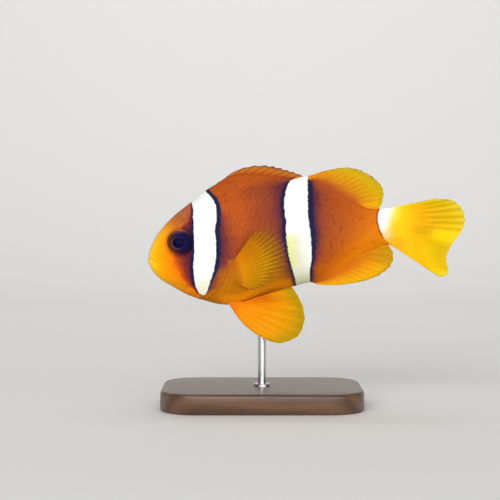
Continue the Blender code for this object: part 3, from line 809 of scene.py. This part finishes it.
# ---- fins ------------------------------------------------------------------------------------
# Fans are rows of the share of the root, the ray's angle in degrees above the line that runs
# tailward, and its length. Colours run from 0 at a fin's foot to 1 at its rim.
SPINY_ROOT = (19.6, 41.6)
SPINY_FAN = (
    (0, 27, 1.1), (0.05, 31, 2), (0.11, 33, 2.7), (0.17, 31, 3.5), (0.26, 28, 4.25), (0.4, 21.5, 5),
    (0.54, 19.5, 4.5), (0.68, 17.5, 3.8), (0.81, 15, 2.9), (0.93, 16, 2.3), (1, 60, 1.35),
)
SOFT_ROOT = (42, 53.4)
SOFT_FAN = (
    (0, 70, 1.35), (0.04, 47, 2.2), (0.1, 32, 4.1), (0.25, 27, 7.4), (0.37, 24.5, 8.9), (0.5, 20, 9.9),
    (0.62, 16, 10.1), (0.74, 12, 9.8), (0.84, 7, 8.8), (0.93, -4, 7), (1, -19, 5.2),
)
ANAL_ROOT = (40, 53.5)
ANAL_FAN = (
    (0, -29, 1.7), (0.15, -30, 4), (0.3, -29, 6.1), (0.45, -29, 7.8), (0.58, -27, 9.1), (0.7, -24, 9.8),
    (0.8, -20, 9.8), (0.88, -13, 9.1), (0.95, -5, 7.7), (1, 4, 6.2),
)
TAIL_ROOT = ((61.3, 4.6), (61.3, -5.4))
TAIL_FAN = (
    (0, 4, 11.2), (0.08, 4, 14.3), (0.16, 2, 16.1), (0.26, -4, 17.2), (0.36, -10, 16.9),
    (0.46, -16, 15.5), (0.56, -22, 14.2), (0.7, -29, 13.6), (0.8, -31.9, 13.9), (0.88, -33.5, 14.6),
    (0.94, -35.5, 14.8), (0.975, -37.8, 14.4), (1, -41, 13.1),
)
PECTORAL_ROOT = ((21.3, -3.2), (21.9, -9.3))
PECTORAL_FAN = (
    (0, 48, 10.5), (0.08, 44, 12.3), (0.2, 35.5, 14), (0.4, 21, 14.7), (0.6, 8, 13.5), (0.8, -7, 10),
    (1, -26, 5.8),
)
PECTORAL_FLARE = 26  # degrees off the flank
PELVIC_ROOT = ((19.2, -15.2), (21.9, -13.9))
PELVIC_FAN = (
    (0, -46.5, 12.3), (0.15, -43.5, 14.3), (0.27, -39.5, 15.4), (0.37, -35.5, 16.3), (0.46, -32, 16.8),
    (0.58, -26.5, 16.8), (0.68, -21, 16.6), (0.77, -15.5, 16.1), (0.85, -9, 15.3), (0.92, -1.5, 14.3),
    (1, 10.5, 12.5),
)
PELVIC_FLARE = 15
PELVIC_SIDE = 1.7
COLUMNS_PER_RAY = 14
THINNEST = 0.02  # a fin's least half thickness

SPINY_COLOURS = (
    (0, 380, 85, 10), (0.4, 450, 125, 8), (0.8, 460, 150, 10), (0.92, 260, 80, 30), (1, 120, 40, 40),
)
SOFT_COLOURS = (
    (0, 520, 150, 5), (0.28, 620, 235, 3), (0.55, 670, 320, 1), (0.82, 630, 400, 2), (0.95, 530, 370, 4),
    (1, 460, 330, 20),
)
ANAL_COLOURS = (
    (0, 580, 150, 3), (0.2, 640, 185, 2), (0.42, 810, 300, 1), (0.7, 840, 385, 1), (0.9, 790, 410, 2),
    (1, 470, 310, 12),
)
ANAL_UPPER_COLOURS = ((0, 580, 165, 2), (0.5, 550, 240, 1), (1, 460, 270, 2))
TAIL_COLOURS = (
    (0, 860, 480, 2), (0.4, 840, 420, 1), (0.6, 800, 470, 1), (0.85, 800, 540, 2), (1, 780, 580, 40),
)
PECTORAL_COLOURS = (
    (0, 500, 155, 4), (0.07, 540, 175, 3), (0.17, 720, 265, 1), (0.34, 640, 270, 1), (0.56, 560, 270, 2),
    (0.72, 490, 225, 6), (0.86, 420, 185, 12), (1, 380, 160, 16),
)
PELVIC_COLOURS = (
    (0, 740, 190, 1), (0.18, 880, 275, 1), (0.55, 890, 335, 1), (0.76, 760, 325, 1), (0.92, 500, 300, 2),
    (1, 440, 280, 4),
)


def partway(first, last, share):
    """The point at a share of the way from the first to the last."""
    return [a + (b - a) * share for a, b in zip(first, last)]


def ray_ribs(share, reach, rays, branching, breadth):
    """Height, from 0 to 1, of the rays over the web. Soft rays branch twice on their way out."""
    off = share * (rays - 1)
    off = np.abs(off - np.round(off))
    first = branching * 0.24 * step(reach, 0.3, 0.95)
    second = branching * 0.11 * step(reach, 0.62, 1)
    width = breadth - 0.07 * branching * step(reach, 0.3, 1)
    return np.maximum(bell(off - first - second, width), bell(off - first + second, width))


def make_fin(name, node, root, fan, rays, aside, finish, slot, sink, rows=44, bend=(0, 0), notch=0.02,
             branching=1, rib=0.16, web=0.055, flesh=(0.6, 0.34), pleat=0.06, breadth=0.15, low_rim=0):
    """A fin of rays and webs with two faces. root and aside give its foot and its sideways place, and
    sink is how far its foot goes into the body. bend is how many degrees the first and the last ray
    turn upward on their way out, notch how deep the rim is cut between rays, rib and web its half
    thickness, flesh what its foot adds and up to which reach, pleat how far the webs sag, breadth the
    rays' width, and low_rim how much lower the rays are at the rim."""
    shares, angles, lengths = zip(*fan)
    columns = (rays - 1) * COLUMNS_PER_RAY + 1
    share, out = np.meshgrid(np.linspace(0, 1, columns), np.linspace(0, 1, rows), indexing="ij")
    ribs_at_rim = ray_ribs(share, np.ones_like(share), rays, branching, breadth)
    wave = np.cos(2 * math.pi * share * (rays - 1))
    rim = 1 - notch * (0.5 - 0.5 * wave) - 0.25 * notch * (1 - ribs_at_rim)
    length = spline(shares, lengths)(share) * rim
    reach = (out * (length + sink) - sink) / length
    turn = bend[0] + (bend[1] - bend[0]) * share
    angle = np.radians(spline(shares, angles)(share) + turn * (np.clip(reach, 0, 1) - 1) / 2)
    foot = root(share)
    x = foot[0] + length * reach * np.cos(angle)
    z = foot[1] + length * reach * np.sin(angle)
    ribs = ray_ribs(share, reach, rays, branching, breadth)
    y = aside(share, reach, x) + pleat * wave * np.clip(reach * 1.6, 0, 1)
    middle = np.stack([x, y, z], axis=-1)
    normal = unit(np.cross(np.gradient(middle, axis=0), np.gradient(middle, axis=1)))
    thin = 1 - 0.72 * np.clip(reach, 0, 1)
    low = 1 - low_rim * step(reach, 0.45, 0.9)
    half = web * (0.55 + 0.45 * thin) + rib * thin * low * ribs * step(reach, -0.05, 0.4)
    half = half + flesh[0] * (1 - step(reach, -0.12, flesh[1])) ** 1.3
    half *= (1 - 0.65 * step(reach, 0.97, 1)) * step(share, -0.02, 0.012) * (1 - step(share, 0.988, 1.02))
    half = np.maximum(half, THINNEST)[..., None]
    points = np.stack([middle + normal * half, middle - normal * half]).reshape(-1, 3)
    spread = np.stack([share, reach, ribs], -1).reshape(-1, 3)
    marks = {"place": points, "fin": np.concatenate([spread, spread])}
    made = piece(name, points, plate_faces(columns, rows), finish, slot, **marks)
    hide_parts(node)


def fin_finish(name, stops, webs=0.25, body=0.3, alpha=1, furrow=(550, 420, 300)):
    """Colours on the way from a fin's foot to its rim. webs is how much the furrows between the rays are
    darkened, partly their own tone and partly painted shade, body is how far the body's markings run out on
    it, and alpha is how solid its rim is."""
    finish = Finish(name)
    place = finish.mark("place")
    x, _, z = finish.parts(place)
    share, reach, ribs = finish.parts(finish.mark("fin"))
    cloud = finish.noise(place, 3, 3)
    streak = finish.noise(place, 0.7, 3)
    ragged = reach + cloud * 0.15
    between = (1 - ribs) * reach.rise(0.05, 0.5) * webs
    colour = finish.ramp(reach + cloud * 0.16, stops)
    colour = finish.paint(colour, ((streak + 0.1).rise(0, 0.5) * 0.22, furrow, "MULTIPLY"))

    if name == "pectoral_fins":
        colour = finish.paint(colour, (share.fall(0.1, 0.55) * 0.9, (930, 720, 1000), "MULTIPLY"))
    elif name == "pelvic_fins":
        colour = finish.paint(
            colour,
            (share.within(0.05, 0.085, 0.02) * reach.fall(0.5, 0.8) * 0.6, (620, 450, 300), "MULTIPLY"),
            (share.fall(0, 0.05) * reach.fall(0.85, 0.95) * 0.6, (620, 300, 50)),
            # painted shadow cast by the belly along the fin's upper edge
            ((share + cloud * 0.1).rise(0.7, 0.98) * reach.fall(0.4, 0.85) * 0.85, (760, 165, 1)),
        )
    elif name == "tail_fin":
        # the tail's furrows between the rays: painted shade, strongest in the upper lobe's pleats
        between *= share.within(0.05, 0.43, 0.03) * (reach + cloud * 0.3).rise(0.3, 0.6) * (3 + cloud * 4)
        # painted shade along the tail's fold (fold, crest) and in the valley before it, and a painted
        # highlight (gleam) on the rays just above the fold
        fold = share.within(0.585, 0.93, 0.03) * ragged.rise(0.56, 0.86)
        crest = share.within(0.57, 0.61, 0.03) * reach.rise(0.42, 0.6)
        valley_shadow = (z + 1.5 + (x - 66.3) * 0.3 + cloud).within(-1, 1.1, 0.9) * x.within(65.6, 70.6, 1.6)
        gleam = (share + cloud * 0.03).within(0.38, 0.55, 0.035) * ragged.within(0.62, 0.97, 0.12)
        upper = share.fall(0.3, 0.42) * reach.rise(0.45, 0.75) * (1 - 0.4 * share.rise(0.05, 0.2))
        colour = finish.paint(
            colour,
            ((fold * 0.7).most(crest * 0.6), (620, 380, 2)),
            (valley_shadow * 0.85, (640, 350, 1)),
            (gleam * 0.6, (900, 600, 3)),
            (upper, (820, 900, 1000), "MULTIPLY"),
            (x.fall(63, 68), coat_colour(finish, place)[0]),
        )
    elif name == "spiny_dorsal":
        colour, white = coat_colour(finish, place, colour)
        # the fin's foot darkened to match the body: partly the scales' dark pigment, partly painted shade
        # that evens out the light where the fin meets the back
        coat = finish.mix(1 - white, coat_colour(finish, place)[0], (800, 780, 700), "MULTIPLY")
        colour = finish.mix(reach.fall(0.02, body), colour, coat)
        between = ribs * 0.8 * (1 - white) * reach.rise(0, 0.25)
    elif name == "anal_fin":
        upper = (share + cloud * 0.05).rise(0.7, 0.88)
        colour = finish.paint(colour, (upper * 0.9, finish.ramp(reach, ANAL_UPPER_COLOURS)))
    elif name == "soft_dorsal":
        rear = share.rise(0.82, 0.97) * reach.rise(0.1, 0.45) * reach.fall(0.75, 0.95)
        lace = (reach + cloud * 0.03).rise(0.955, 0.985) * share.within(0.05, 0.62, 0.04)
        fringe = finish.mix(finish.noise(place, 0.6).rise(-0.08, 0.08), (170, 95, 50), (720, 620, 450))
        colour = finish.paint(
            colour,
            ((share + cloud * 0.05).fall(0.05, 0.3) * 0.8, (740, 215, 3)),
            (rear * 0.8, (820, 385, 1)),
            (lace * 0.7, fringe),
        )
    if name in ("anal_fin", "soft_dorsal"):
        coat, white = coat_colour(finish, place)
        # the fin's foot darkened to match the body: partly the scales' dark pigment, partly painted shade
        # that evens out the light where the fin meets the body
        coat = finish.mix(1 - white, coat, (860, 820, 840), "MULTIPLY")
        colour = finish.mix(ragged.fall(0.02, body), colour, coat)

    # the furrows between the rays darkened: partly the webs' own tone, partly painted shade where the webs
    # sag; on the spiny dorsal the spines are darkened instead
    colour = finish.mix(between, colour, furrow, "MULTIPLY")
    segments = finish.node("Math", {"operation": "SINE"}, (reach * 120,)) * ribs * 0.2
    solid = 1
    if alpha < 1:
        rim = reach + cloud * 0.1 + share.rise(0.75, 1) * 0.15 + (1 - ribs) * 0.06
        solid = 1 - rim.rise(0.56, 1.03) * (1 - alpha)
    return finish.flesh(
        0.2,
        WEB_DEPTHS,
        Base_Color=colour,
        Roughness=0.46 + streak * 0.1,
        Alpha=solid,
        Normal=finish.bump(segments + streak * 0.6, 0.015),
    )


def make_fins():
    """The seven kinds of fin at their places on the body."""

    def on_back(first, last, sunk):
        def root(share):
            x = first + (last - first) * share
            return x, BACK(x) + 0.4 * (step(share, 0, 0.12) - (1 + sunk) * share**4)

        return root

    def on_belly(share):
        x = ANAL_ROOT[0] + (ANAL_ROOT[1] - ANAL_ROOT[0]) * share
        return x, BELLY(x) - 0.4 * (1 - 2 * share**4)

    def on_stalk(share):
        x, z = partway(*TAIL_ROOT, share)
        return x + 0.5 * np.sin(math.pi * share), z

    def on_side(share):
        x, z = partway(*PECTORAL_ROOT, share)
        return x - 0.6 * np.sin(math.pi * share), z

    def on_breast(share):
        return partway(*PELVIC_ROOT, share)

    def in_plane(share, reach, x):
        return sweep(x)

    def tail_folds(share, reach, x):
        pleats = 0.28 * np.sin(14 * math.pi * share) * np.maximum(0, 1 - share / 0.6)
        fold = -1.3 * bell(share - 0.47, 0.13)
        turn = 1.6 * np.maximum(0, share - 0.55) / 0.45
        return sweep(x) + reach**2 * (pleats + fold + turn)

    def off_flank(side):
        def aside(share, reach, x):
            foot = on_side(share)
            out = (x - foot[0]) * math.tan(math.radians(PECTORAL_FLARE))
            return side * (flank(*foot) + 0.45 + out + 0.8 * np.sin(math.pi * reach))

        return aside

    def off_breast(side):
        def aside(share, reach, x):
            out = 16 * reach * np.tan(np.radians(PELVIC_FLARE + 5 * share))
            return side * (PELVIC_SIDE + 0.4 * share + out)

        return aside

    spiny = fin_finish("spiny_dorsal", SPINY_COLOURS, 0.5, 0.55, furrow=(580, 450, 500))
    make_fin("dorsal_fin_spines", "dorsal_fin_spiny", on_back(*SPINY_ROOT, 0), SPINY_FAN, 12, in_plane,
             spiny, "orange_fin", 2.6, rows=30, notch=0.07, branching=0, rib=0.1, pleat=0.05)
    soft = fin_finish("soft_dorsal", SOFT_COLOURS, 0.4, 0.46)
    make_fin("dorsal_fin_rays", "dorsal_fin_soft", on_back(*SOFT_ROOT, 1), SOFT_FAN, 15, in_plane,
             soft, "orange_fin", 1.6, bend=(-6, 6))
    anal = fin_finish("anal_fin", ANAL_COLOURS, 0.35, 0.46)
    make_fin("anal_fin_rays", "anal_fin", on_belly, ANAL_FAN, 14, in_plane, anal, "orange_fin", 1.6,
             bend=(6, 0))
    tail = fin_finish("tail_fin", TAIL_COLOURS, 0.35, furrow=(800, 700, 500))
    make_fin("tail_fin_rays", "tail_fin", on_stalk, TAIL_FAN, 17, tail_folds, tail, "gold_fin", 2.2,
             rows=60, notch=0.012, flesh=(0.75, 0.42), branching=0.3, breadth=0.22)
    pectoral = fin_finish("pectoral_fins", PECTORAL_COLOURS, 0.62, alpha=0)
    pelvic = fin_finish("pelvic_fins", PELVIC_COLOURS, 0.25)
    for side, word in ((-1, "left"), (1, "right")):
        make_fin(f"pectoral_rays_{word}", f"pectoral_fin_{word}", on_side, PECTORAL_FAN, 19,
                 off_flank(side), pectoral, "gold_fin", 1.2, notch=0, branching=0.3, rib=0.07,
                 web=0.03, pleat=0.03, flesh=(0.3, 0.25), breadth=0.2, low_rim=0.9)
        make_fin(f"pelvic_rays_{word}", f"pelvic_fin_{word}", on_breast, PELVIC_FAN, 8,
                 off_breast(side), pelvic, "gold_fin", 2.3, bend=(44, -8), notch=0.008, pleat=0.09)


# ---- eyes ------------------------------------------------------------------------------------
PUPIL = 1.42  # its radius
EYE_RINGS, EYE_SPOKES = 72, 96


def make_eye(side, finish):
    """One eyeball: a shallow dome with the lens standing out a little at the pupil."""
    word = "left" if side < 0 else "right"
    turn = np.linspace(0, math.pi, EYE_RINGS + 1)[1:-1]
    radius = EYE_RADIUS * np.sin(turn)
    lens = 0.1 * (1 - step(radius, PUPIL - 0.2, PUPIL + 0.15)) - 0.05 * bell(radius - PUPIL - 0.45, 0.3)
    depth = np.where(turn < math.pi / 2, eye_face(radius) + lens, 2 * EYE[1] - eye_face(radius))
    u, w = (np.outer(radius, part(turns(EYE_SPOKES))) for part in (np.cos, np.sin))
    out = np.broadcast_to(side * depth[:, None], u.shape)
    points = np.stack([EYEBALL[0] + u, out, EYEBALL[1] + w], -1).reshape(-1, 3)
    faces = grid_faces(len(radius), EYE_SPOKES, closed=True, flip=side > 0)
    near, far, last = len(points), len(points) + 1, (len(radius) - 1) * EYE_SPOKES
    for j in range(EYE_SPOKES):
        k = (j + 1) % EYE_SPOKES
        a, b = (k, j) if side < 0 else (j, k)
        faces += [(near, a, b), (far, last + b, last + a)]
    tips = (eye_face(0) + 0.1, 2 * EYE[1] - eye_face(0))
    points = np.concatenate([points, [[EYEBALL[0], side * tip, EYEBALL[1]] for tip in tips]])
    flat = np.concatenate([np.stack([u, w, u * 0], -1).reshape(-1, 3), np.zeros((2, 3))])
    made = piece(f"eyeball_{word}", points, faces, finish, "eye", iris=flat)
    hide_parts(f"eye_{word}")


def eye_finish():
    finish = Finish("clownfish_eye")
    flat = finish.mark("iris")
    u, w, _ = finish.parts(flat)
    radius = finish.node("VectorMath", {"operation": "LENGTH"}, (flat,), output="Value")
    fibre = finish.noise(flat, 0.35, 3)
    cloud = finish.noise(flat, 1.4, 2)
    ahead = u + 0.19
    pupil = (ahead * ahead + w * w * 1.35) ** 0.5 + (ahead + w) * 0.05
    rear = (u + cloud * 1.5).rise(-1.9, 0.3)
    ring = (pupil + fibre * 0.2).within(PUPIL + 0.1, PUPIL + 0.34, 0.13)
    warm = (-ahead - w * 0.6).rise(-0.4, 1.6)
    iris = finish.paint(
        finish.mix(rear, (66, 19, 24), (10, 6.5, 44)),
        ((w + cloud).rise(0.9, 2) * 0.7, (12, 9, 48)),
        ((radius + fibre * 0.5).rise(2.35, 2.75), finish.mix(rear, (115, 52, 10), (14, 12, 55))),
        ((w + cloud * 0.4).rise(2, 3) * u.fall(1, 2.6), (190, 66, 42)),
        (ring * (0.7 + fibre * 0.6), finish.mix(warm, (20, 13, 60), (140, 66, 66))),
        (fibre.rise(0.05, 0.3) * 0.4, (500, 400, 600), "MULTIPLY"),
    )
    lens = finish.mix((pupil + cloud * 0.6).rise(0.3, 1.3), (2, 3, 44), (2, 1, 20))
    return finish.surface(
        Base_Color=finish.mix(pupil.rise(PUPIL - 0.07, PUPIL + 0.07), lens, iris),
        Roughness=0.3,
        Normal=finish.bump(fibre, 0.006),
        Coat_Weight=0.015,
        Coat_Roughness=0.06,
        Specular_IOR_Level=0.02,
    )


# ---- the stand -------------------------------------------------------------------------------
BASE_CORNER = 9
EASE = 0.8  # radius of the base's upper edge


def rounded_outline(half_x, half_y, corner, segments=16):
    """Points round a rectangle with round corners, anticlockwise."""
    corners = ((1, 1, 0), (-1, 1, 90), (-1, -1, 180), (1, -1, 270))
    points = []
    for sx, sy, start in corners:
        for angle in np.radians(np.linspace(start, start + 90, segments)):
            points.append((sx * (half_x - corner) + corner * math.cos(angle),
                           sy * (half_y - corner) + corner * math.sin(angle)))
    return np.array(points)


def walnut_finish():
    finish = Finish("walnut")
    place = finish.mark("place")
    _, y, z = finish.parts(place)
    drift = finish.noise(place, 14, 2, (0.25, 1, 1)) * 7
    rings = finish.node("Math", {"operation": "SINE"}, ((y + z * 0.6 + drift) * 1.5,))
    grain = finish.noise(place, 0.35, 4, (0.04, 1, 1))
    pores = finish.noise(place, 0.22, 2, (0.06, 1, 1)).rise(0.14, 0.22)
    colour = finish.mix(rings * 0.3 + 0.45 + grain * 0.8, (55, 24, 11), (160, 75, 34))
    colour = finish.mix(pores * 0.7, colour, (20, 9, 5))
    return finish.surface(
        Base_Color=colour,
        Roughness=0.38 + grain * 0.15 + pores * 0.2,
        Normal=finish.bump(grain * 0.4 - pores, 0.04),
        Coat_Weight=0.25,
        Coat_Roughness=0.25,
    )


def steel_finish():
    finish = Finish("brushed_steel")
    place = finish.mark("place")
    brush = finish.noise(place, 0.12, 3, (1, 1, 0.05))
    colour = finish.mix(brush + 0.5, (500, 500, 510), (660, 660, 670))
    return finish.surface(
        Base_Color=colour, Metallic=1, Roughness=0.28 + brush * 0.2, Normal=finish.bump(brush, 0.006)
    )


def turned(profile, centre, spokes=64):
    """Points and faces of a profile of (radius, height) turned round an upright axis."""
    spoke = turns(spokes)
    rings = [np.stack([centre[0] + r * np.cos(spoke), centre[1] + r * np.sin(spoke), np.full(spokes, h)], -1)
             for r, h in profile]
    faces = grid_faces(len(profile), spokes, closed=True)
    last = (len(profile) - 1) * spokes
    faces += [range(spokes)[::-1], range(last, last + spokes)]
    return np.concatenate(rings), faces


def box_in_mm(name):
    return (np.array(corner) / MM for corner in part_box(name))


def make_stand():
    """The walnut base with an eased edge, the steel rod and the ring at its foot."""
    level = Matrix.Identity(4)
    low, high = box_in_mm("stand_base")
    half, height = (high - low) / 2, high[2]
    quarter = np.linspace(0, math.pi / 2, 9)
    outlines = [(EASE * 0.6, 0), (0, EASE * 0.6)]
    outlines += [(EASE * (1 - math.cos(a)), height - EASE * (1 - math.sin(a))) for a in quarter]
    rings = []
    for inset, z in outlines:
        outline = rounded_outline(half[0] - inset, half[1] - inset, BASE_CORNER - inset)
        rings.append(np.column_stack([outline, np.full(len(outline), z)]))
    points, around = np.concatenate(rings), len(rings[0])
    faces = grid_faces(len(rings), around, closed=True)
    faces += [range(around)[::-1], range(len(points) - around, len(points))]
    walnut = walnut_finish()
    base = piece("stand_base_walnut", points, faces, walnut, "base_wood", level, 50, place=points)
    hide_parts("stand_base")

    low, high = box_in_mm("stand_rod")
    radius, centre = (high[0] - low[0]) / 2, (low + high) / 2
    steel = steel_finish()
    points, faces = turned([(radius, low[2]), (radius, high[2] - 0.3), (radius - 0.3, high[2])], centre)
    rod = piece("stand_rod_steel", points, faces, steel, "rod_steel", level, 40, place=points)
    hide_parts("stand_rod")
    profile = ((0.02, -0.5), (1.1, -0.5), (1.1, 0.45), (0.95, 0.6), (0.02, 0.6))
    points, faces = turned([(radius + out, height + up) for out, up in profile], centre)
    piece("stand_rod_ring", points, faces, steel, "rod_steel", level, 30, place=points)


# ---- studio ----------------------------------------------------------------------------------
def make_stage():
    """A pale floor that curves up into a backdrop."""
    front, rear, bend, top, side = -0.9, 0.35, 0.25, 1.1, 1.6
    curve = [(rear + bend * math.sin(a), bend * (1 - math.cos(a))) for a in np.linspace(0.1, math.pi / 2, 14)]
    profile = [(front, 0), (rear, 0), *curve, (rear + bend, top)]
    points = [(x, y, z) for y, z in profile for x in (-side, side)]
    mesh = bpy.data.meshes.new("studio_floor")
    mesh.from_pydata(points, [], grid_faces(len(profile), 2, flip=True))
    mesh.shade_smooth()
    finish = Finish("studio_paper")
    mesh.materials.append(finish.surface(Base_Color=(840, 830, 810), Roughness=0.9))
    add("studio_floor", mesh)


def area_light(name, place, target, size, power):
    light = bpy.data.lights.new(name, "AREA")
    light.shape = "RECTANGLE"
    light.size, light.size_y = size
    light.energy = power
    lamp = add(name, light)
    lamp.location = place
    lamp.rotation_euler = (Vector(target) - Vector(place)).to_track_quat("-Z", "Y").to_euler()


def light_studio():
    middle = (0.01, 0, 0.035)
    area_light("key", (-0.22, -0.62, 0.33), middle, (0.5, 0.5), 2.9)
    area_light("fill", (0.22, -0.62, 0.06), middle, (0.7, 0.1), 2.3)
    area_light("top", (0.05, 0.1, 0.6), middle, (0.5, 0.5), 0.7)
    area_light("backdrop", (0, 0.22, 0.5), (0, 0.6, 0.18), (0.8, 0.2), 0.9)
    world = bpy.data.worlds.new("studio")
    world.use_nodes = True
    background = world.node_tree.nodes["Background"]
    background.inputs["Color"].default_value = (0.95, 0.97, 1, 1)
    background.inputs["Strength"].default_value = 0.22
    bpy.context.scene.world = world
    bpy.context.scene.view_settings.view_transform = "Standard"


def make_camera():
    """Looks at the fish's left side from a little above its level."""
    lens, sensor, across = 100, 36, 125
    distance = lens / sensor * across * MM
    elevation = math.radians(2)
    target = FISH.translation + Vector((25.5, 0, 2)) * MM
    data = bpy.data.cameras.new("camera")
    data.lens, data.sensor_width = lens, sensor
    data.clip_start, data.clip_end = 0.01, 10
    camera = add("camera", data)
    camera.location = target + distance * Vector((0, -math.cos(elevation), math.sin(elevation)))
    camera.rotation_euler = (math.pi / 2 - elevation, 0, 0)
    bpy.context.scene.camera = camera


def main():
    make_camera()
    light_studio()
    make_stage()
    skin = Skin()
    make_skin(skin, skin_finish())
    scales = scale_finish()
    eyes = eye_finish()
    for side in (-1, 1):
        make_scales(skin, side, scales)
        make_eye(side, eyes)
    make_fins()
    make_stand()


main()
